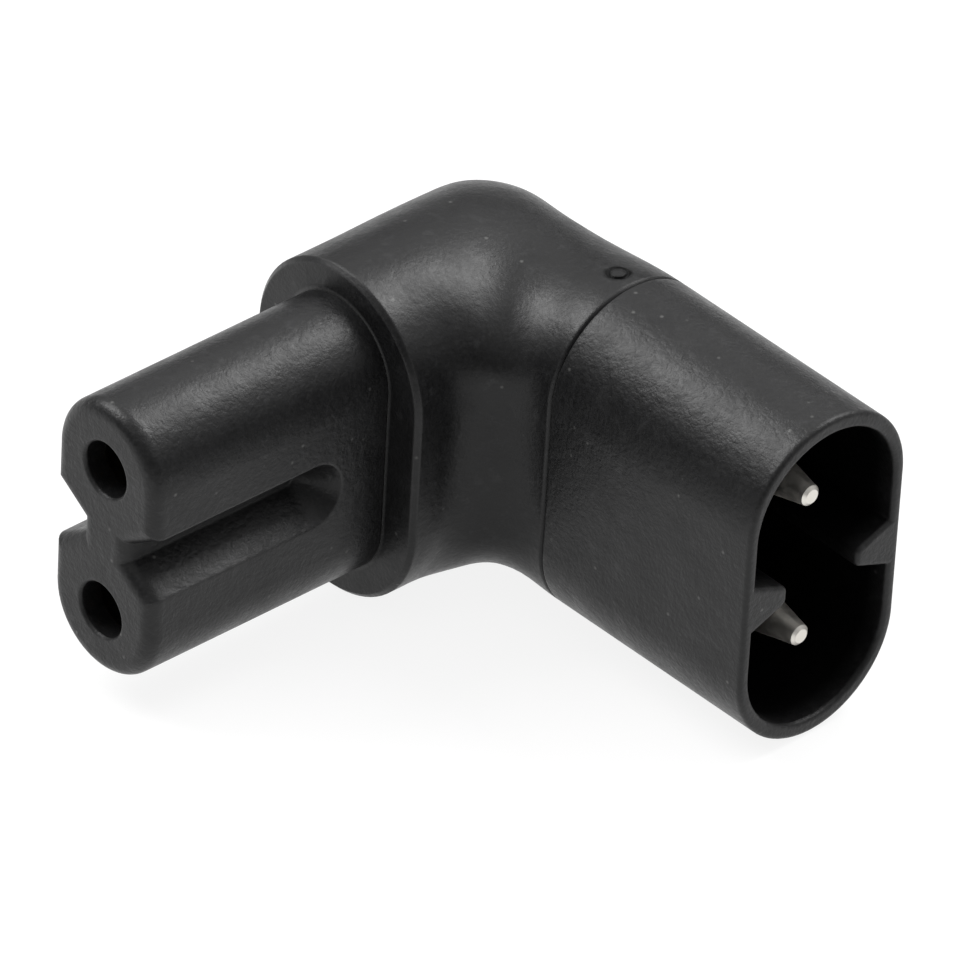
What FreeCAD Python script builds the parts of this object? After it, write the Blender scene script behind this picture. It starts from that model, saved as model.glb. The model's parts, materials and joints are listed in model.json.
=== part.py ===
import FreeCAD, Part
import math
import os
import Sketcher

# Right-angle figure eight power adapter: a socket nose on one arm, a pin inlet on the other.
# Lengths in millimetres. The two arm axes cross at the middle height of the elbow; the nose
# points along -Y, the inlet along +X, and the two poles lie one above the other along Z.

SIZES = [
    # Poles and the moulded elbow
    ("pole_spacing", 8.6),
    ("arm_height", 19.4),
    ("shoulder_width", 12.3),
    ("seam_width", 10.5),
    ("shoulder_straight", 1.85),
    ("seam_straight", 0.35),
    ("inner_radius", 3.5),
    ("outer_radius", 3.9),
    ("bend_dip", 1.2),
    ("bend_cap_drop", 1.3),
    ("shoulder_edge", 0.25),
    ("seam_edge", 0.14),
    ("gate_across", 1.25),
    ("gate_ring", 0.2),
    ("gate_sink", 0.16),
    ("gate_along", 8.68),
    ("gate_aside", 0.26),
    # Nose
    ("nose_length", 15.4),
    ("nose_root_width", 7.75),
    ("nose_root_height", 16.1),
    ("nose_face_width", 7.55),
    ("nose_face_height", 16.0),
    ("nose_edge", 0.8),
    ("groove_mouth", 3.7),
    ("groove_floor", 1.0),
    ("groove_web", 3.4),
    ("groove_end", 12.5),
    ("socket_hole", 3.1),
    ("socket_edge", 0.12),
    ("socket_lip", 1.4),
    ("socket_chamber", 3.9),
    ("tail_length", 4.0),
    ("tail_flange", 1.5),
    ("tail_neck_step", 1.0),
    ("nose_flange_width", 9.6),
    ("nose_flange_cover", 1.0),
    # Socket contacts
    ("sleeve_bore", 2.5),
    ("sleeve_across", 3.5),
    ("sleeve_setback", 3.0),
    ("sleeve_flare", 0.3),
    ("sleeve_flare_length", 0.6),
    ("sleeve_bore_length", 10.0),
    ("sleeve_collar_rise", 0.4),
    ("slit_width", 0.5),
    ("slit_length", 7.5),
    # Wires and the cups that hold them
    ("wire_across", 0.9),
    ("wire_bend", 3.0),
    ("cup_across", 3.0),
    ("cup_length", 2.0),
    # Inlet
    ("shroud_length", 14.7),
    ("mouth_width", 10.6),
    ("mouth_slope", 0.1),
    ("rim_edge", 0.25),
    ("rim_side", 0.65),
    ("rim_top", 0.9),
    ("recess_depth", 13.0),
    ("rib_reach", 2.25),
    ("rib_tip", 1.0),
    ("rib_root", 3.0),
    ("rib_bite", 0.35),
    ("rib_round", 0.4),
    ("shroud_tail", 3.5),
    ("shroud_flange_width", 9.0),
    ("shroud_flange_cover", 0.95),
    ("shroud_neck_step", 0.5),
    # Pins
    ("pin_across", 2.4),
    ("pin_tip", 1.1),
    ("pin_taper", 3.2),
    ("pin_setback", 1.15),
    ("pin_root", 3.2),
    ("pin_flange", 4.0),
    ("pin_flange_length", 1.2),
    ("pin_tip_edge", 0.15),
]

doc = FreeCAD.newDocument("figure_eight_adapter")
sheet = doc.addObject("Spreadsheet::Sheet", "Sizes")
for row, (alias, value) in enumerate(SIZES, start=1):
    sheet.set("A%d" % row, alias)
    sheet.set("B%d" % row, str(value))
    sheet.setAlias("B%d" % row, alias)
doc.recompute()

# Where the nose and the inlet meet the elbow, measured from the crossing of the arm axes
SHOULDER = "(Sizes.seam_width / 2 + Sizes.inner_radius + Sizes.shoulder_straight)"
SEAM = "(Sizes.shoulder_width / 2 + Sizes.inner_radius + Sizes.seam_straight)"
NOSE_FACE = "(%s + Sizes.nose_length)" % SHOULDER
NOSE_TAIL = "(%s - Sizes.tail_length)" % SHOULDER
MOUTH = "(%s + Sizes.shroud_length)" % SEAM
RECESS_FLOOR = "(%s - Sizes.recess_depth)" % MOUTH
SHROUD_TAIL = "(%s - Sizes.shroud_tail)" % SEAM
MOUTH_HEIGHT = "(Sizes.arm_height - 2 * Sizes.mouth_slope)"
RECESS_WIDTH = "(Sizes.mouth_width - 2 * Sizes.rim_side)"
RECESS_HEIGHT = "(%s - 2 * Sizes.rim_top)" % MOUTH_HEIGHT
NOSE_FLANGE_HEIGHT = "(Sizes.arm_height - 2 * Sizes.nose_flange_cover)"
SHROUD_FLANGE_HEIGHT = "(Sizes.arm_height - 2 * Sizes.shroud_flange_cover)"
FAN_STEP = 6
CLOSE = 0.02

# The whole part is shifted so that its origin is the middle of its footprint, on the floor.
SHIFT = {
    "x": "-(%s - Sizes.shoulder_width / 2) / 2" % MOUTH,
    "y": "(%s - Sizes.mouth_width / 2) / 2" % NOSE_FACE,
    "z": "Sizes.arm_height / 2",
}


def value_of(expression):
    return float(sheet.evalExpression(str(expression)))


def new_body(label):
    body = doc.addObject("PartDesign::Body", label)
    body.Label = label
    for axis, expression in SHIFT.items():
        body.setExpression("Placement.Base." + axis, expression)
    return body


def new_sketch(body, plane, x="0", y="0", z="0"):
    """A sketch on one of the body's own planes, moved in that plane's directions."""
    support = [item for item in body.Origin.OriginFeatures if item.Role == plane][0]
    sketch = body.newObject("Sketcher::SketchObject", body.Name + "_outline")
    sketch.AttachmentSupport = [(support, "")]
    sketch.MapMode = "FlatFace"
    for axis, expression in zip("xyz", (x, y, z)):
        if expression != "0":
            sketch.setExpression("AttachmentOffset.Base." + axis, str(expression))
    return sketch


def bind(sketch, constraint, name, expression):
    index = sketch.addConstraint(constraint)
    sketch.renameConstraint(index, name)
    sketch.setExpression("Constraints." + name, str(expression))


def stadium(sketch, width, height):
    """Two half circles one above the other, joined by upright sides."""
    radius = value_of(width) / 2
    rise = value_of(height) / 2 - radius
    up = FreeCAD.Vector(0, 0, 1)
    right_low, right_high = FreeCAD.Vector(radius, -rise, 0), FreeCAD.Vector(radius, rise, 0)
    left_low, left_high = FreeCAD.Vector(-radius, -rise, 0), FreeCAD.Vector(-radius, rise, 0)
    top = Part.Circle(FreeCAD.Vector(0, rise, 0), up, radius)
    bottom = Part.Circle(FreeCAD.Vector(0, -rise, 0), up, radius)
    first = sketch.addGeometry(Part.LineSegment(right_low, right_high))
    sketch.addGeometry(Part.ArcOfCircle(top, 0, math.pi))
    sketch.addGeometry(Part.LineSegment(left_high, left_low))
    sketch.addGeometry(Part.ArcOfCircle(bottom, math.pi, 2 * math.pi))
    side, cap, other_side, low_cap = range(first, first + 4)
    for start, end in ((side, cap), (cap, other_side), (other_side, low_cap), (low_cap, side)):
        sketch.addConstraint(Sketcher.Constraint("Tangent", start, 2, end, 1))
    sketch.addConstraint(Sketcher.Constraint("Equal", cap, low_cap))
    sketch.addConstraint(Sketcher.Constraint("PointOnObject", cap, 3, -2))
    sketch.addConstraint(Sketcher.Constraint("Symmetric", cap, 3, low_cap, 3, -1, 1))
    bind(sketch, Sketcher.Constraint("Radius", cap, radius), "cap_radius", "(%s) / 2" % width)
    bind(sketch, Sketcher.Constraint("DistanceY", low_cap, 3, cap, 3, 2 * rise), "cap_spacing",
         "(%s) - (%s)" % (height, width))
    return sketch


def oblong(sketch, width, height, cap):
    """Upright sides joined by half ellipses, which rise by the cap at the top and the bottom."""
    half = value_of(width) / 2
    rise = value_of(height) / 2 - value_of(cap)
    right_low, right_high = FreeCAD.Vector(half, -rise, 0), FreeCAD.Vector(half, rise, 0)
    left_low, left_high = FreeCAD.Vector(-half, -rise, 0), FreeCAD.Vector(-half, rise, 0)
    top = Part.Ellipse(FreeCAD.Vector(0, rise, 0), half, value_of(cap))
    bottom = Part.Ellipse(FreeCAD.Vector(0, -rise, 0), half, value_of(cap))
    sides = []
    sides.append(sketch.addGeometry(Part.LineSegment(right_low, right_high)))
    upper = sketch.addGeometry(Part.ArcOfEllipse(top, 0, math.pi))
    sides.append(sketch.addGeometry(Part.LineSegment(left_high, left_low)))
    lower = sketch.addGeometry(Part.ArcOfEllipse(bottom, math.pi, 2 * math.pi))
    for start, end in ((sides[0], upper), (upper, sides[1]), (sides[1], lower), (lower, sides[0])):
        sketch.addConstraint(Sketcher.Constraint("Coincident", start, 2, end, 1))
    for name, arc in (("upper", upper), ("lower", lower)):
        level = rise if arc == upper else -rise
        long_axis = sketch.addGeometry(
            Part.LineSegment(FreeCAD.Vector(half, level, 0), FreeCAD.Vector(-half, level, 0)), True)
        short_axis = sketch.addGeometry(
            Part.LineSegment(FreeCAD.Vector(0, level + value_of(cap), 0),
                             FreeCAD.Vector(0, level - value_of(cap), 0)), True)
        sketch.addConstraint(Sketcher.Constraint("InternalAlignment:EllipseMajorDiameter", long_axis, arc))
        sketch.addConstraint(Sketcher.Constraint("InternalAlignment:EllipseMinorDiameter", short_axis, arc))
        sketch.addConstraint(Sketcher.Constraint("Horizontal", long_axis))
        sketch.addConstraint(Sketcher.Constraint("PointOnObject", arc, 1, long_axis))
        sketch.addConstraint(Sketcher.Constraint("PointOnObject", arc, 2, long_axis))
        bind(sketch, Sketcher.Constraint("DistanceX", long_axis, 2, long_axis, 1, 2 * half),
             name + "_width", width)
        bind(sketch, Sketcher.Constraint("DistanceY", short_axis, 2, short_axis, 1, 2 * value_of(cap)),
             name + "_cap", "2 * (%s)" % cap)
    sketch.addConstraint(Sketcher.Constraint("PointOnObject", upper, 3, -2))
    sketch.addConstraint(Sketcher.Constraint("Symmetric", upper, 3, lower, 3, -1, 1))
    bind(sketch, Sketcher.Constraint("DistanceY", lower, 3, upper, 3, 2 * rise), "cap_spacing",
         "(%s) - 2 * (%s)" % (height, cap))
    return sketch


def place_point(sketch, geometry, corner, name, x, y):
    """Hold a point at an expression in each direction from the sketch's origin."""
    for kind, axis, expression in (("DistanceX", -2, x), ("DistanceY", -1, y)):
        if str(expression) == "0":
            sketch.addConstraint(Sketcher.Constraint("PointOnObject", geometry, corner, axis))
        else:
            held = Sketcher.Constraint(kind, -1, 1, geometry, corner, value_of(expression))
            bind(sketch, held, "%s_%s" % (name, kind[-1].lower()), expression)


def polygon(sketch, points, name="corner"):
    """A closed outline of straight sides through points given as expressions."""
    corners = [FreeCAD.Vector(value_of(x), value_of(y), 0) for x, y in points]
    sides = []
    for start, end in zip(corners, corners[1:] + corners[:1]):
        sides.append(sketch.addGeometry(Part.LineSegment(start, end)))
    for side, following in zip(sides, sides[1:] + sides[:1]):
        sketch.addConstraint(Sketcher.Constraint("Coincident", side, 2, following, 1))
    for number, (side, (x, y)) in enumerate(zip(sides, points)):
        place_point(sketch, side, 1, "%s_%d" % (name, number), x, y)
    return sketch


def circle(sketch, across, x="0", y="0", name="ring"):
    centre = FreeCAD.Vector(value_of(x), value_of(y), 0)
    shape = Part.Circle(centre, FreeCAD.Vector(0, 0, 1), value_of(across) / 2)
    index = sketch.addGeometry(shape)
    bind(sketch, Sketcher.Constraint("Diameter", index, value_of(across)), name + "_across", across)
    place_point(sketch, index, 3, name, x, y)
    return sketch


def pole_circles(sketch, across):
    circle(sketch, across, "0", "Sizes.pole_spacing / 2", "upper")
    circle(sketch, across, "0", "-Sizes.pole_spacing / 2", "lower")
    return sketch


def extrude(body, kind, sketch, length, backwards=False):
    feature = body.newObject("PartDesign::" + kind, body.Name + "_" + kind.lower())
    feature.Profile = sketch
    feature.Reversed = backwards
    feature.setExpression("Length", str(length))
    sketch.Visibility = False
    doc.recompute()
    return feature


def cut_through(body, sketch):
    feature = body.newObject("PartDesign::Pocket", body.Name + "_through")
    feature.Profile = sketch
    feature.Type = "ThroughAll"
    feature.Midplane = True
    doc.recompute()
    return feature


def loft(body, sections):
    feature = body.newObject("PartDesign::AdditiveLoft", body.Name + "_loft")
    feature.Profile = sections[0]
    feature.Sections = sections[1:]
    doc.recompute()
    return feature


def turn(body, kind, sketch):
    """A turned solid or recess about the sketch's own horizontal axis."""
    feature = body.newObject("PartDesign::" + kind, body.Name + "_turned")
    feature.Profile = sketch
    feature.ReferenceAxis = (sketch, ["H_Axis"])
    feature.Angle = 360
    doc.recompute()
    return feature


def edges_near(feature, test):
    """Names of the edges whose box passes the test, in the body's own directions."""
    names = []
    for number, edge in enumerate(feature.Shape.Edges, start=1):
        if test(edge.BoundBox):
            names.append("Edge%d" % number)
    return names


def dress(body, kind, names, property_name, expression):
    dressed = body.Tip
    feature = body.newObject("PartDesign::" + kind, body.Name + "_" + kind.lower())
    feature.Base = (dressed, names)
    feature.setExpression(property_name, str(expression))
    doc.recompute()
    return feature


def fillet(body, names, radius):
    return dress(body, "Fillet", names, "Radius", radius)


def chamfer(body, names, size):
    return dress(body, "Chamfer", names, "Size", size)


def flat_at(axis, place):
    """A test for edges that lie in the plane where the axis has the given place."""
    def test(box):
        low, high = getattr(box, axis + "Min"), getattr(box, axis + "Max")
        return abs(low - place) < CLOSE and abs(high - place) < CLOSE
    return test


def nose_insert():
    """Figure eight socket nose, with a stepped tail that the elbow is moulded around."""
    body = new_body("nose_insert")
    root = stadium(new_sketch(body, "XZ_Plane", z=SHOULDER),
                   "Sizes.nose_root_width", "Sizes.nose_root_height")
    face = stadium(new_sketch(body, "XZ_Plane", z=NOSE_FACE),
                   "Sizes.nose_face_width", "Sizes.nose_face_height")
    loft(body, [root, face])
    neck = stadium(new_sketch(body, "XZ_Plane", z=SHOULDER),
                   "Sizes.nose_root_width - 2 * Sizes.tail_neck_step",
                   "Sizes.nose_root_height - 2 * Sizes.tail_neck_step")
    extrude(body, "Pad", neck, "Sizes.tail_length", backwards=True)
    flange = stadium(new_sketch(body, "XZ_Plane", z=NOSE_TAIL),
                     "Sizes.nose_flange_width", NOSE_FLANGE_HEIGHT)
    extrude(body, "Pad", flange, "Sizes.tail_flange")
    for side in ("", "-"):
        cut_side_groove(body, side)
    front = flat_at("Y", -value_of(NOSE_FACE))
    fillet(body, edges_near(body.Tip, front), "Sizes.nose_edge")
    holes = pole_circles(new_sketch(body, "XZ_Plane", z=NOSE_FACE), "Sizes.socket_hole")
    extrude(body, "Pocket", holes, "Sizes.socket_lip + 1")
    wide = value_of("Sizes.socket_hole")

    def hole_rim(box):
        return front(box) and abs(box.XLength - wide) < CLOSE

    chamfer(body, edges_near(body.Tip, hole_rim), "Sizes.socket_edge")
    chambers = pole_circles(new_sketch(body, "XZ_Plane", z=NOSE_TAIL), "Sizes.socket_chamber")
    extrude(body, "Pocket", chambers,
            "Sizes.tail_length + Sizes.nose_length - Sizes.socket_lip", backwards=True)
    return body


def cut_side_groove(body, side):
    """A flared groove along one flank of the nose, closed by a half round end."""
    deep = side + "Sizes.groove_web / 2"
    outer = side + "(Sizes.nose_root_width / 2 + 1)"
    depth = "(Sizes.nose_face_width / 2 - Sizes.groove_web / 2)"
    flare = "((Sizes.groove_mouth - Sizes.groove_floor) / 2 / %s)" % depth
    wide = "(Sizes.groove_floor / 2 + %s * (Sizes.nose_root_width / 2 + 1 - Sizes.groove_web / 2))" % flare
    section = polygon(new_sketch(body, "XZ_Plane", z=NOSE_FACE), [
        (deep, "-Sizes.groove_floor / 2"),
        (outer, "-" + wide),
        (outer, wide),
        (deep, "Sizes.groove_floor / 2"),
    ])
    extrude(body, "Pocket", section, "Sizes.groove_end - Sizes.groove_mouth / 2")
    end = polygon(new_sketch(body, "XY_Plane",
                             y="-(%s - Sizes.groove_end + Sizes.groove_mouth / 2)" % NOSE_FACE), [
        (deep, "0"),
        (outer, "0"),
        (outer, wide),
        (deep, "Sizes.groove_floor / 2"),
    ])
    turn(body, "Groove", end)


def contact_sleeve(label, side):
    """Slit socket contact, with a collar that fills the nose's tail and a cup for its wire."""
    body = new_body(label)
    front = "-(%s - Sizes.sleeve_setback)" % NOSE_FACE
    blind = "-(%s - Sizes.sleeve_setback - Sizes.sleeve_bore_length)" % NOSE_FACE
    collar = "-(%s + Sizes.sleeve_collar_rise)" % SHOULDER
    tail = "-" + NOSE_TAIL
    cup = "-(%s - Sizes.cup_length)" % NOSE_TAIL
    profile = polygon(new_sketch(body, "YZ_Plane", y=side + "Sizes.pole_spacing / 2"), [
        (cup, "Sizes.wire_across / 2"),
        (cup, "Sizes.cup_across / 2"),
        (tail, "Sizes.cup_across / 2"),
        (tail, "Sizes.socket_chamber / 2"),
        (collar, "Sizes.socket_chamber / 2"),
        (collar, "Sizes.sleeve_across / 2"),
        (front, "Sizes.sleeve_across / 2"),
        (front, "Sizes.sleeve_bore / 2 + Sizes.sleeve_flare"),
        (front + " + Sizes.sleeve_flare_length", "Sizes.sleeve_bore / 2"),
        (blind, "Sizes.sleeve_bore / 2"),
        (blind, "0"),
        (tail, "0"),
        (tail, "Sizes.wire_across / 2"),
    ])
    turn(body, "Revolution", profile)
    slit = polygon(new_sketch(body, "YZ_Plane", y=side + "Sizes.pole_spacing / 2"), [
        (front + " - 1", "-Sizes.slit_width / 2"),
        (front + " + Sizes.slit_length", "-Sizes.slit_width / 2"),
        (front + " + Sizes.slit_length", "Sizes.slit_width / 2"),
        (front + " - 1", "Sizes.slit_width / 2"),
    ])
    cut_through(body, slit)
    return body


def contact_pin(label, side):
    """Tapered round pin on a stout root, with a flange behind the inlet and a cup for its wire."""
    body = new_body(label)
    tail = SHROUD_TAIL
    cup = "%s - Sizes.cup_length" % SHROUD_TAIL
    flange = "%s + Sizes.pin_flange_length" % SHROUD_TAIL
    tip = "%s - Sizes.pin_setback" % MOUTH
    profile = polygon(new_sketch(body, "XZ_Plane", y=side + "Sizes.pole_spacing / 2"), [
        (cup, "Sizes.wire_across / 2"),
        (cup, "Sizes.cup_across / 2"),
        (tail, "Sizes.cup_across / 2"),
        (tail, "Sizes.pin_flange / 2"),
        (flange, "Sizes.pin_flange / 2"),
        (flange, "Sizes.pin_root / 2"),
        (RECESS_FLOOR, "Sizes.pin_root / 2"),
        (RECESS_FLOOR, "Sizes.pin_across / 2"),
        (tip + " - Sizes.pin_taper", "Sizes.pin_across / 2"),
        (tip, "Sizes.pin_tip / 2"),
        (tip, "0"),
        (tail, "0"),
        (tail, "Sizes.wire_across / 2"),
    ])
    turn(body, "Revolution", profile)
    chamfer(body, edges_near(body.Tip, flat_at("X", value_of(tip))), "Sizes.pin_tip_edge")
    return body


def link_wire(label, side):
    """Bare stiff wire, bent twice on its way from a sleeve's cup to a pin's cup."""
    body = new_body(label)
    level = side + "Sizes.pole_spacing / 2"
    section = circle(new_sketch(body, "XZ_Plane", y=level, z=NOSE_TAIL), "Sizes.wire_across")
    path = new_sketch(body, "XY_Plane", z=level)
    start = FreeCAD.Vector(0, -value_of(NOSE_TAIL), 0)
    bend = value_of("Sizes.wire_bend")
    finish = FreeCAD.Vector(value_of(SHROUD_TAIL), 0, 0)
    bend_start, bend_end = FreeCAD.Vector(0, -bend, 0), FreeCAD.Vector(bend, 0, 0)
    first = path.addGeometry(Part.LineSegment(start, bend_start))
    slant = path.addGeometry(Part.LineSegment(bend_start, bend_end))
    last = path.addGeometry(Part.LineSegment(bend_end, finish))
    path.addConstraint(Sketcher.Constraint("Coincident", first, 2, slant, 1))
    path.addConstraint(Sketcher.Constraint("Coincident", slant, 2, last, 1))
    place_point(path, first, 1, "start", "0", "-" + NOSE_TAIL)
    place_point(path, slant, 1, "bend_start", "0", "-Sizes.wire_bend")
    place_point(path, slant, 2, "bend_end", "Sizes.wire_bend", "0")
    place_point(path, last, 2, "finish", SHROUD_TAIL, "0")
    doc.recompute()
    pipe = body.newObject("PartDesign::AdditivePipe", label + "_pipe")
    pipe.Profile = section
    pipe.Spine = (path, [])
    pipe.Transition = "Right corner"
    doc.recompute()
    return body


def inlet_shroud():
    """Oval inlet shroud with two ribs, and a stepped tail that the elbow is moulded around."""
    body = new_body("inlet_shroud")
    bevel_end = "%s + Sizes.seam_edge" % SEAM
    bevel = stadium(new_sketch(body, "YZ_Plane", z=SEAM),
                    "Sizes.seam_width - 2 * Sizes.seam_edge", "Sizes.arm_height - 2 * Sizes.seam_edge")
    seam = stadium(new_sketch(body, "YZ_Plane", z=bevel_end), "Sizes.seam_width", "Sizes.arm_height")
    loft(body, [bevel, seam])
    seam = stadium(new_sketch(body, "YZ_Plane", z=bevel_end), "Sizes.seam_width", "Sizes.arm_height")
    mouth = stadium(new_sketch(body, "YZ_Plane", z=MOUTH), "Sizes.mouth_width", MOUTH_HEIGHT)
    loft(body, [seam, mouth])
    recess = stadium(new_sketch(body, "YZ_Plane", z=MOUTH), RECESS_WIDTH, RECESS_HEIGHT)
    extrude(body, "Pocket", recess, "Sizes.recess_depth")
    reach = "(%s / 2 - Sizes.rib_reach)" % RECESS_WIDTH
    bite = "(%s / 2 + Sizes.rib_bite)" % RECESS_WIDTH
    for side in ("", "-"):
        rib = polygon(new_sketch(body, "YZ_Plane", z=MOUTH), [
            (side + reach, "-Sizes.rib_tip / 2"),
            (side + bite, "-Sizes.rib_root / 2"),
            (side + bite, "Sizes.rib_root / 2"),
            (side + reach, "Sizes.rib_tip / 2"),
        ])
        extrude(body, "Pad", rib, "Sizes.recess_depth", backwards=True)
    tip = value_of(reach)

    def rib_corner(box):
        long_edge = box.XLength > value_of("Sizes.recess_depth") / 2
        return long_edge and box.YLength < CLOSE and abs(abs(box.YMin) - tip) < CLOSE

    fillet(body, edges_near(body.Tip, rib_corner), "Sizes.rib_round")
    fillet(body, edges_near(body.Tip, flat_at("X", value_of(MOUTH))), "Sizes.rim_edge")
    neck = stadium(new_sketch(body, "YZ_Plane", z=SEAM),
                   "Sizes.shroud_flange_width - 2 * Sizes.shroud_neck_step",
                   "%s - 2 * Sizes.shroud_neck_step" % SHROUD_FLANGE_HEIGHT)
    extrude(body, "Pad", neck, "Sizes.shroud_tail", backwards=True)
    flange = stadium(new_sketch(body, "YZ_Plane", z=SHROUD_TAIL),
                     "Sizes.shroud_flange_width", SHROUD_FLANGE_HEIGHT)
    extrude(body, "Pad", flange, "Sizes.tail_flange")
    holes = pole_circles(new_sketch(body, "YZ_Plane", z=SHROUD_TAIL), "Sizes.pin_root")
    extrude(body, "Pocket", holes, "%s - %s + 1" % (RECESS_FLOOR, SHROUD_TAIL), backwards=True)
    seats = pole_circles(new_sketch(body, "YZ_Plane", z=SHROUD_TAIL), "Sizes.pin_flange")
    extrude(body, "Pocket", seats, "Sizes.pin_flange_length", backwards=True)
    return body


def outer_reach(angle):
    """Distance from the inner corner's centre to the elbow's outer wall: two flats and one round."""
    across = "(Sizes.shoulder_width + Sizes.inner_radius)"
    along = "(Sizes.seam_width + Sizes.inner_radius)"
    round_x = "(%s - Sizes.outer_radius)" % across
    round_y = "(%s - Sizes.outer_radius)" % along
    ahead = "(%s * cos(%s) + %s * sin(%s))" % (round_x, angle, round_y, angle)
    aside = "(%s * sin(%s) - %s * cos(%s))" % (round_x, angle, round_y, angle)
    on_round = "%s + sqrt(Sizes.outer_radius ^ 2 - %s ^ 2)" % (ahead, aside)
    on_first = "%s / cos(%s)" % (across, angle)
    on_second = "%s / sin(%s)" % (along, angle)
    first_ends = "atan2(%s; %s)" % (round_y, across)
    second_starts = "atan2(%s; %s)" % (along, round_x)
    return "(%s <= %s ? %s : (%s >= %s ? %s : %s))" % (
        angle, first_ends, on_first, angle, second_starts, on_second, on_round)


def bend_sections(body):
    """Oval sections that fan about the inner corner and reach out to the elbow's outer wall.

    Their height dips and their caps flatten towards the corner, and both come back at the arms.
    """
    sections = []
    for degrees in range(0, 91, FAN_STEP):
        angle = "%d deg" % degrees
        reach = outer_reach(angle)
        middle = "(%s + Sizes.inner_radius) / 2" % reach
        sketch = new_sketch(body, "XZ_Plane",
                            x="Sizes.shoulder_width / 2 + Sizes.inner_radius - %s * cos(%s)" % (middle, angle),
                            z="Sizes.seam_width / 2 + Sizes.inner_radius - %s * sin(%s)" % (middle, angle))
        turned = FreeCAD.Rotation(FreeCAD.Vector(0, 1, 0), -degrees)
        sketch.AttachmentOffset = FreeCAD.Placement(sketch.AttachmentOffset.Base, turned)
        width = "(%s - Sizes.inner_radius)" % reach
        if degrees in (0, 90):
            sections.append(stadium(sketch, width, "Sizes.arm_height"))
            continue
        double = "%d deg" % (2 * degrees)
        height = "(Sizes.arm_height - 2 * Sizes.bend_dip * (sin(%s) * sin(%s)) ^ 2)" % (double, angle)
        cap = "(Sizes.shoulder_width / 2 * cos(%s) ^ 2 + Sizes.seam_width / 2 * sin(%s) ^ 2" % (angle, angle)
        cap += " - Sizes.bend_cap_drop * sin(%s) ^ 2)" % double
        sections.append(oblong(sketch, width, height, cap))
    doc.recompute()
    return sections


def elbow_blank():
    """The elbow's outside: two straight oval arms joined by the fanned bend."""
    body = new_body("elbow_blank")
    loft(body, bend_sections(body))
    arm = stadium(new_sketch(body, "XZ_Plane", z=SHOULDER),
                  "Sizes.shoulder_width", "Sizes.arm_height")
    extrude(body, "Pad", arm,
            "Sizes.shoulder_straight", backwards=True)
    arm = stadium(new_sketch(body, "YZ_Plane", z=SEAM), "Sizes.seam_width", "Sizes.arm_height")
    extrude(body, "Pad", arm,
            "Sizes.seam_straight", backwards=True)
    chamfer(body, edges_near(body.Tip, flat_at("Y", -value_of(SHOULDER))), "Sizes.shoulder_edge")
    chamfer(body, edges_near(body.Tip, flat_at("X", value_of(SEAM))), "Sizes.seam_edge")
    gate = new_sketch(body, "XY_Plane", z="Sizes.arm_height / 2")
    circle(gate, "Sizes.gate_across", "Sizes.gate_along", "Sizes.gate_aside", "outer")
    circle(gate, "Sizes.gate_across - 2 * Sizes.gate_ring", "Sizes.gate_along", "Sizes.gate_aside", "inner")
    extrude(body, "Pocket", gate, "Sizes.gate_sink")
    return body


pieces = [
    nose_insert(),
    contact_sleeve("contact_sleeve_upper", ""),
    contact_sleeve("contact_sleeve_lower", "-"),
    link_wire("link_wire_upper", ""),
    link_wire("link_wire_lower", "-"),
    contact_pin("contact_pin_upper", ""),
    contact_pin("contact_pin_lower", "-"),
    inlet_shroud(),
]

# The elbow is moulded around the tails, the contacts and the wires, so it has their shape inside.
core = doc.addObject("Part::MultiFuse", "moulded_core")
core.Shapes = pieces
elbow = doc.addObject("Part::Cut", "elbow_overmould")
elbow.Base = elbow_blank()
elbow.Tool = core
doc.recompute()

for item in doc.Objects:
    if "Invalid" in item.State or "Error" in item.State:
        raise RuntimeError("not built: " + item.Label)
for item in pieces + [elbow]:
    if item.Shape.isNull() or not item.Shape.isValid() or len(item.Shape.Solids) != 1:
        raise RuntimeError("not one sound solid: " + item.Label)

os.makedirs("parts", exist_ok=True)
for item in pieces + [elbow]:
    item.Shape.exportStep("parts/%s.step" % item.Label)
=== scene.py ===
import json
import math
import bpy
from mathutils import Euler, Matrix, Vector


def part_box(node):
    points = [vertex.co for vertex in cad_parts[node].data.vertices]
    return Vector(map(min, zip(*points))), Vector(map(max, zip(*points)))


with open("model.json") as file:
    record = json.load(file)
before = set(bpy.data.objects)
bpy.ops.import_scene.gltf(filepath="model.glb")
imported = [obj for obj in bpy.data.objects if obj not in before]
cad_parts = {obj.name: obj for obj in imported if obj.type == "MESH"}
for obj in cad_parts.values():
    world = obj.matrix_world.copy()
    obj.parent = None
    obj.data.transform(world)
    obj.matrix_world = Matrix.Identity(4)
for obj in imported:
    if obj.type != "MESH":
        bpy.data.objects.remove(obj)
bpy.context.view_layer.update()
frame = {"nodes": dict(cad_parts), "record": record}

MM = 0.001
scene = bpy.context.scene

# Places on the part, taken from the frame
mounts = {mount["name"]: Vector(mount["pos_m"]) for mount in frame["record"]["mounts"]}
MID_HEIGHT = (mounts["socket_upper"].z + mounts["socket_lower"].z) / 2
NOSE_AXIS = mounts["socket_upper"].x
INLET_AXIS = mounts["inlet_pin_upper"].y
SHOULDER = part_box("elbow_overmould")[0].y
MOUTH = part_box("inlet_shroud")[1].x

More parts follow.
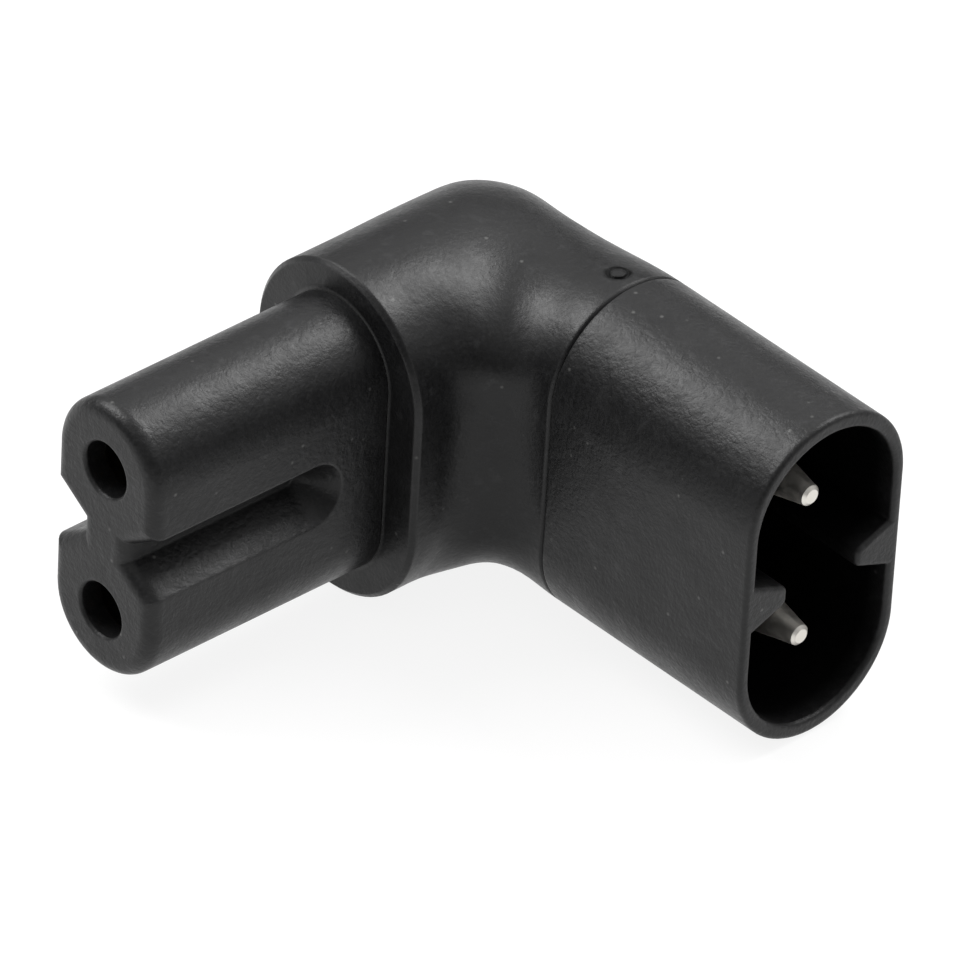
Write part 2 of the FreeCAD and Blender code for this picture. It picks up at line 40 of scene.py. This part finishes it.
# Painted highlight and painted shade on the plastic: the outlines that they follow, and where each
# starts and ends its fade
NOSE_ROOT = {"across": 7.75 * MM, "height": 16.1 * MM}
ROOT_HIGHLIGHT_FADE = (0.10 * MM, 0.24 * MM)
SHOULDER_FADE = (0.05 * MM, 0.3 * MM)
RECESS = {"across": 9.3 * MM, "height": 17.4 * MM}
RECESS_WALL_FADE = (0.03 * MM, 0.10 * MM)
RECESS_DEPTH_FADE = (-1.4 * MM, -0.3 * MM)
GATE_MARK = Vector((-0.595 * MM, 10.61 * MM))
GATE_RADIUS = 0.52 * MM
GATE_RING_FADE = (0.1 * MM, 0.3 * MM)
GATE_LUMP = 0.3 * MM
GATE_WOBBLE = (-0.08 * MM, 0.08 * MM)

# Black plastic: colours
SATIN_BLACK = (0.0065, 0.0065, 0.0068)
DEEP_BLACK = (0.0055, 0.0055, 0.0058)
# Worn edges, and the painted highlight line around the nose root
WORN_AND_HIGHLIGHT_GREY = (0.085, 0.085, 0.085)
SCUFF_GREY = (0.035, 0.035, 0.036)
FLECK_GREY = (0.13, 0.13, 0.125)

# Black plastic: sizes of its patches, grain and wear
GLOSS_PATCH = 2.4 * MM
MOTTLE_LUMP = 0.22 * MM
GRAIN_LUMP = 0.5 * MM
SCUFF_LENGTH = 0.9 * MM
FLECK_SPACING = 1.1 * MM
FLECK_RADIUS = 0.13 * MM
WORN_EDGE = 0.2 * MM
WORN_EDGE_SAMPLES = 4
COARSE_GRAIN_DEPTH = 0.028 * MM
FINE_GRAIN_DEPTH = 0.017 * MM

# Black plastic: shades as multiples of its colour, and how strongly each mark shows
PATCH_SHADES = (0.7, 1.3)
MOTTLE_SHADE = 2.2
MOTTLE_AMOUNT = 0.5
# Painted shade in the gate ring and the inlet, as a multiple of the colour
PAINTED_SHADE_SHARE = 0.3
# How strongly the worn edges and the painted highlight line show
WEAR_AND_HIGHLIGHT_AMOUNT = 0.5
LEAST_WEAR = 0.3 * WEAR_AND_HIGHLIGHT_AMOUNT
SCUFF_AMOUNT = 0.4
FLECK_SHARE = 0.35
FLECK_CORE = 0.3
FLECK_AMOUNT = 0.5
EDGE_FADE = (0.85, 0.99)

# Black plastic: gloss
PLASTIC_IOR = 1.5
PLASTIC_SHINE = 0.3
# Weaker reflection where painted shade lies
PAINTED_SHADE_SHINE = 0.1
PLASTIC_ROUGHNESS = 0.38
PATCH_ROUGHNESS = (-0.05, 0.07)
MOTTLE_ROUGHNESS = (-0.06, 0.06)

# Metal: uneven finish and turning rings
CLOUD_SIZE = 0.5 * MM
CLOUD_SHADE = 0.85
CLOUD_ROUGHNESS = (-0.05, 0.08)
RING_WOBBLE = 0.6

# Blender's wave texture turns through this many radians in a metre at scale 1
WAVE_TURN = 20

# Parts of a noise field's range that are stretched out
NOISE_MIDDLE = (0.3, 0.7)
MOTTLE_PEAKS = (0.4, 0.75)
WEAR_PATCHES = (0.35, 0.65)
SCUFF_PEAKS = (0.56, 0.74)
GATE_NOISE = (0.2, 0.8)

# Floor, as the light sees it and as the camera sees it
FLOOR_WIDTH = 6
FLOOR_DROP = 0.02 * MM
FLOOR_WHITE = (0.85, 0.85, 0.85, 1)
FLOOR_ROUGHNESS = 0.9
SEEN_FLOOR_SHADE = (0.16, 0.16, 0.16, 1)
SEEN_FLOOR_GLOW = 0.87

# Room: how bright it is overhead, at the horizon and on the front side
OVERHEAD_GLOW = 1.5
HORIZON_GLOW = 0.12
GLOW_HEIGHTS = (0.2, 0.55)
FRONT_SHARE = 0.3
FRONT_WAY = (0.7, -0.7, 0.0)
FRONT_TURN = (-0.1, 0.7)

# Soft lights, aimed at the part
SOFT_LIGHTS = {"back_light": (0.02, 0.45, 0.58), "left_light": (-0.44, -0.2, 0.54)}
LIGHT_AIM = (0, 0, 0.01)
LIGHT_WIDTH = 0.4
LIGHT_POWER = 3.5

# Camera at the photograph's angle
CAMERA_PLACE = (0.330955, -0.31985, 0.34054)
CAMERA_TURN = math.radians(45.868)
CAMERA_RISE = math.radians(35.545)
CAMERA_ROLL = math.radians(3.274)
CAMERA_LENS = 424.92
CAMERA_SENSOR = 36


# Node helpers

def feed(tree, socket, value):
    """Put a constant or another node's output on a socket."""
    if isinstance(value, bpy.types.NodeSocket):
        tree.links.new(value, socket)
    else:
        socket.default_value = value


def node(tree, kind, inputs=None, **settings):
    """A new node with its settings, and a constant or another node's output on each input named."""
    made = tree.nodes.new(kind)
    for name, value in settings.items():
        setattr(made, name, value)
    for name, value in (inputs or {}).items():
        feed(tree, made.inputs[name], value)
    return made


def maths(tree, operation, first, second=0.0):
    return node(tree, "ShaderNodeMath", {0: first, 1: second}, operation=operation).outputs[0]


def times(tree, first, second):
    return maths(tree, "MULTIPLY", first, second)


def vector_maths(tree, operation, first, second=(0, 0, 0)):
    """A sum on vectors that gives a number, such as a length."""
    made = node(tree, "ShaderNodeVectorMath", {0: first, 1: second}, operation=operation)
    return made.outputs["Value"]


def flat_vector(tree, first, second):
    return node(tree, "ShaderNodeCombineXYZ", {"X": first, "Y": second}).outputs[0]


def split(tree, coords):
    return node(tree, "ShaderNodeSeparateXYZ", {0: coords}).outputs


def noise(tree, coords, size, detail=2.0, roughness=0.5):
    """A noise field whose lumps are about size metres across."""
    inputs = {"Vector": coords, "Scale": 1 / size, "Detail": detail, "Roughness": roughness}
    return node(tree, "ShaderNodeTexNoise", inputs).outputs["Fac"]


def spread(tree, value, old, new):
    """Stretch the old range of a value over the new one, and stop at its ends."""
    inputs = {"Value": value, "From Min": old[0], "From Max": old[1], "To Min": new[0], "To Max": new[1]}
    return node(tree, "ShaderNodeMapRange", inputs).outputs["Result"]


def fade(tree, value, limits, start=0.0):
    """1 up to the first limit and 0 from the second on, both counted from start."""
    return spread(tree, value, (start + limits[0], start + limits[1]), (1.0, 0.0))


def blend(tree, amount, first, second):
    """Mix two colours, each a triple or another node's output."""
    made = node(tree, "ShaderNodeMix", {"Factor": amount}, data_type="RGBA")
    sockets = [item for item in made.inputs if item.type == "RGBA"]
    for socket, colour in zip(sockets, (first, second)):
        feed(tree, socket, colour if isinstance(colour, bpy.types.NodeSocket) else (*colour, 1))
    return [item for item in made.outputs if item.type == "RGBA"][0]


def bumped(tree, height, depth, inputs=None):
    """The surface's direction over bumps that are depth metres high."""
    inputs = {"Strength": 1.0, "Distance": depth, "Height": height, **(inputs or {})}
    return node(tree, "ShaderNodeBump", inputs).outputs["Normal"]


def shaded(colour, share):
    return [channel * share for channel in colour]


def changed(middle, changes):
    return [middle + change for change in changes]


def new_material(name):
    """A bare material, its node tree and the socket that takes its surface."""
    material = bpy.data.materials.new(name)
    material.use_nodes = True
    tree = material.node_tree
    tree.nodes.clear()
    surface = node(tree, "ShaderNodeOutputMaterial").inputs["Surface"]
    return material, tree, surface


def own_coords(tree):
    return node(tree, "ShaderNodeTexCoord").outputs["Object"]


# Masks for marks on the plastic

def flecks(tree, coords):
    """Soft round flecks, in some of the cells of a loose pattern."""
    cells = node(tree, "ShaderNodeTexVoronoi", {"Vector": coords, "Scale": 1 / FLECK_SPACING})
    radius = FLECK_RADIUS / FLECK_SPACING
    inside = fade(tree, cells.outputs["Distance"], (FLECK_CORE * radius, radius))
    chance = node(tree, "ShaderNodeSeparateColor", {"Color": cells.outputs["Color"]})
    kept = maths(tree, "LESS_THAN", chance.outputs["Red"], FLECK_SHARE)
    return times(tree, inside, kept)


def rounded_normal(tree):
    """The surface's direction, with its edges rounded over."""
    rounded = node(tree, "ShaderNodeBevel", {"Radius": WORN_EDGE}, samples=WORN_EDGE_SAMPLES)
    return rounded.outputs["Normal"]


def edge_mask(tree, rounded):
    """1 on edges, where the rounded direction leaves the true one, and 0 on open faces."""
    flat = node(tree, "ShaderNodeNewGeometry").outputs["Normal"]
    return fade(tree, vector_maths(tree, "DOT_PRODUCT", rounded, flat), EDGE_FADE)


def outline_gap(tree, aside, height, outline):
    """Distance in metres from an upright oval outline, below zero inside it."""
    radius = outline["across"] / 2
    straight = outline["height"] / 2 - radius
    rise = maths(tree, "ABSOLUTE", maths(tree, "SUBTRACT", height, MID_HEIGHT))
    rise = maths(tree, "MAXIMUM", maths(tree, "SUBTRACT", rise, straight), 0.0)
    return maths(tree, "SUBTRACT", vector_maths(tree, "LENGTH", flat_vector(tree, aside, rise)), radius)


def root_highlight(tree, coords):
    """The thin pale line on the shoulder, around the nose: a painted highlight."""
    x, y, z = split(tree, coords)
    gap = outline_gap(tree, maths(tree, "SUBTRACT", x, NOSE_AXIS), z, NOSE_ROOT)
    return times(tree, fade(tree, gap, ROOT_HIGHLIGHT_FADE), fade(tree, y, SHOULDER_FADE, SHOULDER))


def gate_ring_shade(tree, coords):
    """Painted shade in the dark, uneven ring that the moulding gate left on top of the elbow."""
    x, y, z = split(tree, coords)
    reach = vector_maths(tree, "DISTANCE", flat_vector(tree, x, y), (*GATE_MARK, 0))
    wobble = spread(tree, noise(tree, coords, GATE_LUMP), GATE_NOISE, GATE_WOBBLE)
    reach = maths(tree, "ADD", reach, wobble)
    off = maths(tree, "ABSOLUTE", maths(tree, "SUBTRACT", reach, GATE_RADIUS))
    on_top = maths(tree, "GREATER_THAN", z, MID_HEIGHT)
    return times(tree, fade(tree, off, GATE_RING_FADE), on_top)


def recess_shade(tree, coords):
    """Painted shade on the inlet's walls, ribs and floor: darker and less reflective."""
    x, y, z = split(tree, coords)
    gap = outline_gap(tree, maths(tree, "SUBTRACT", y, INLET_AXIS), z, RECESS)
    return times(tree, fade(tree, gap, RECESS_WALL_FADE), fade(tree, x, RECESS_DEPTH_FADE, MOUTH))


# Materials

def moulded_black(name, tint, grain_depth, painted_shade_mark=None, painted_highlight_mark=None):
    """Black moulded plastic: a satin grain, uneven gloss, soft flecks and lighter worn edges, with a
    painted highlight line or painted shade where marked.
    """
    material, tree, surface = new_material(name)
    coords = own_coords(tree)
    patches = noise(tree, coords, GLOSS_PATCH, detail=3.0, roughness=0.6)
    mottle = noise(tree, coords, MOTTLE_LUMP, detail=3.0, roughness=0.65)
    shade = blend(tree, patches, *[shaded(tint, share) for share in PATCH_SHADES])
    pale = spread(tree, mottle, MOTTLE_PEAKS, (0.0, MOTTLE_AMOUNT))
    shade = blend(tree, pale, shade, shaded(tint, MOTTLE_SHADE))

    rounded = rounded_normal(tree)
    worn = spread(tree, patches, WEAR_PATCHES, (LEAST_WEAR, WEAR_AND_HIGHLIGHT_AMOUNT))
    worn_and_highlit = times(tree, edge_mask(tree, rounded), worn)
    # Painted highlight line around the nose root, laid in the same grey as the worn edges
    if painted_highlight_mark:
        worn_and_highlit = maths(tree, "MAXIMUM", worn_and_highlit, times(tree, painted_highlight_mark(tree, coords), WEAR_AND_HIGHLIGHT_AMOUNT))
    shade = blend(tree, worn_and_highlit, shade, WORN_AND_HIGHLIGHT_GREY)
    scuffs = noise(tree, coords, SCUFF_LENGTH, detail=4.0, roughness=0.7)
    shade = blend(tree, spread(tree, scuffs, SCUFF_PEAKS, (0.0, SCUFF_AMOUNT)), shade, SCUFF_GREY)
    shade = blend(tree, times(tree, flecks(tree, coords), FLECK_AMOUNT), shade, FLECK_GREY)

    shine = PLASTIC_SHINE
    # Painted shade: darker colour and weaker reflection
    if painted_shade_mark:
        dark = painted_shade_mark(tree, coords)
        shade = blend(tree, dark, shade, shaded(tint, PAINTED_SHADE_SHARE))
        shine = spread(tree, dark, (0.0, 1.0), (PLASTIC_SHINE, PAINTED_SHADE_SHINE))
    gloss = spread(tree, patches, NOISE_MIDDLE, changed(PLASTIC_ROUGHNESS, PATCH_ROUGHNESS))
    gloss = maths(tree, "ADD", gloss, spread(tree, mottle, NOISE_MIDDLE, MOTTLE_ROUGHNESS))
    grain = maths(tree, "ADD", mottle, noise(tree, coords, GRAIN_LUMP))
    shader = node(tree, "ShaderNodeBsdfPrincipled", {
        "Base Color": shade,
        "Roughness": gloss,
        "IOR": PLASTIC_IOR,
        "Specular IOR Level": shine,
        "Normal": bumped(tree, grain, grain_depth, {"Normal": rounded}),
    })
    feed(tree, surface, shader.outputs["BSDF"])
    return material


def turned_metal(name, colour, roughness, ring_axis, ring_size, ring_depth):
    """Plated metal with fine turning rings along an axis and a slightly uneven finish."""
    material, tree, surface = new_material(name)
    coords = own_coords(tree)
    cloud = noise(tree, coords, CLOUD_SIZE)
    ring_scale = 2 * math.pi / (WAVE_TURN * ring_size)
    rings = node(tree, "ShaderNodeTexWave",
                 {"Vector": coords, "Scale": ring_scale, "Distortion": RING_WOBBLE, "Detail": 1.0},
                 wave_type="BANDS", bands_direction=ring_axis)
    shader = node(tree, "ShaderNodeBsdfPrincipled", {
        "Base Color": blend(tree, cloud, shaded(colour, CLOUD_SHADE), colour),
        "Metallic": 1.0,
        "Roughness": spread(tree, cloud, NOISE_MIDDLE, changed(roughness, CLOUD_ROUGHNESS)),
        "Normal": bumped(tree, rings.outputs["Fac"], ring_depth),
    })
    feed(tree, surface, shader.outputs["BSDF"])
    return material


MATERIALS = {
    "nose_black": moulded_black("nose_black", SATIN_BLACK, COARSE_GRAIN_DEPTH),
    "elbow_black": moulded_black("elbow_black", DEEP_BLACK, FINE_GRAIN_DEPTH,
                                 painted_shade_mark=gate_ring_shade, painted_highlight_mark=root_highlight),
    "shroud_black": moulded_black("shroud_black", SATIN_BLACK, COARSE_GRAIN_DEPTH,
                                  painted_shade_mark=recess_shade),
    "pin_nickel": turned_metal("pin_nickel", colour=(0.88, 0.85, 0.79), roughness=0.48,
                               ring_axis="X", ring_size=0.16 * MM, ring_depth=0.003 * MM),
    "sleeve_brass": turned_metal("sleeve_brass", colour=(0.72, 0.56, 0.27), roughness=0.3,
                                 ring_axis="Y", ring_size=0.15 * MM, ring_depth=0.002 * MM),
    "wire_copper": turned_metal("wire_copper", colour=(0.72, 0.42, 0.26), roughness=0.3,
                                ring_axis="X", ring_size=0.15 * MM, ring_depth=0.001 * MM),
}
for part in frame["record"]["subparts"]:
    piece = frame["nodes"][part["node"]]
    for slot in piece.material_slots:
        slot.material = MATERIALS[part["material_slot"]]


# Floor, light and background

def seen_directly(tree):
    """1 for camera, mirror and glass rays, which see the lifted white of the floor."""
    path = node(tree, "ShaderNodeLightPath").outputs
    seen = maths(tree, "MAXIMUM", path["Is Camera Ray"], path["Is Glossy Ray"])
    return maths(tree, "MAXIMUM", seen, path["Is Transmission Ray"])


def floor_white():
    """Plain white, lifted where the camera sees it, with the shadow still on it."""
    material, tree, surface = new_material("floor_white")
    lit = node(tree, "ShaderNodeBsdfPrincipled", {
        "Base Color": FLOOR_WHITE,
        "Roughness": FLOOR_ROUGHNESS,
        "Specular IOR Level": 0.0,
    })
    matt = node(tree, "ShaderNodeBsdfDiffuse", {"Color": SEEN_FLOOR_SHADE})
    lift = node(tree, "ShaderNodeEmission", {"Strength": SEEN_FLOOR_GLOW})
    lifted = node(tree, "ShaderNodeAddShader", {0: matt.outputs[0], 1: lift.outputs[0]})
    choose = node(tree, "ShaderNodeMixShader",
                  {0: seen_directly(tree), 1: lit.outputs["BSDF"], 2: lifted.outputs[0]})
    feed(tree, surface, choose.outputs[0])
    return material


def plain_floor():
    """A wide floor just under the part, so that the two share no plane."""
    bpy.ops.mesh.primitive_plane_add(size=FLOOR_WIDTH, location=(0, 0, -FLOOR_DROP))
    floor = bpy.context.object
    floor.name = "floor"
    floor.data.materials.append(floor_white())


def soft_light(name, place):
    data = bpy.data.lights.new(name, "AREA")
    data.shape = "DISK"
    data.size = LIGHT_WIDTH
    data.energy = LIGHT_POWER
    light = bpy.data.objects.new(name, data)
    scene.collection.objects.link(light)
    light.location = place
    light.rotation_euler = (Vector(LIGHT_AIM) - Vector(place)).to_track_quat("-Z", "Y").to_euler()


def studio_world():
    """A room that is bright overhead, dark at the horizon and darkest on the front side."""
    world = bpy.data.worlds.new("studio")
    scene.world = world
    world.use_nodes = True
    tree = world.node_tree
    tree.nodes.clear()
    way = node(tree, "ShaderNodeTexCoord").outputs["Generated"]
    glow = spread(tree, split(tree, way)["Z"], GLOW_HEIGHTS, (HORIZON_GLOW, OVERHEAD_GLOW))
    ahead = vector_maths(tree, "DOT_PRODUCT", way, FRONT_WAY)
    glow = times(tree, glow, spread(tree, ahead, FRONT_TURN, (1.0, FRONT_SHARE)))
    room = node(tree, "ShaderNodeBackground", {"Strength": glow})
    node(tree, "ShaderNodeOutputWorld", {"Surface": room.outputs[0]})


def photograph_camera():
    """The camera, turned and raised towards the part and then rolled about its line of sight."""
    data = bpy.data.cameras.new("camera")
    data.sensor_width = CAMERA_SENSOR
    data.lens = CAMERA_LENS
    camera = bpy.data.objects.new("camera", data)
    scene.collection.objects.link(camera)
    camera.location = CAMERA_PLACE
    turn = Euler((math.pi / 2 - CAMERA_RISE, 0, CAMERA_TURN)).to_matrix()
    roll = Euler((0, 0, CAMERA_ROLL)).to_matrix()
    camera.rotation_euler = (turn @ roll).to_euler()
    scene.camera = camera


plain_floor()
studio_world()
for light_name, light_place in SOFT_LIGHTS.items():
    soft_light(light_name, light_place)
photograph_camera()
scene.view_settings.view_transform = "Standard"
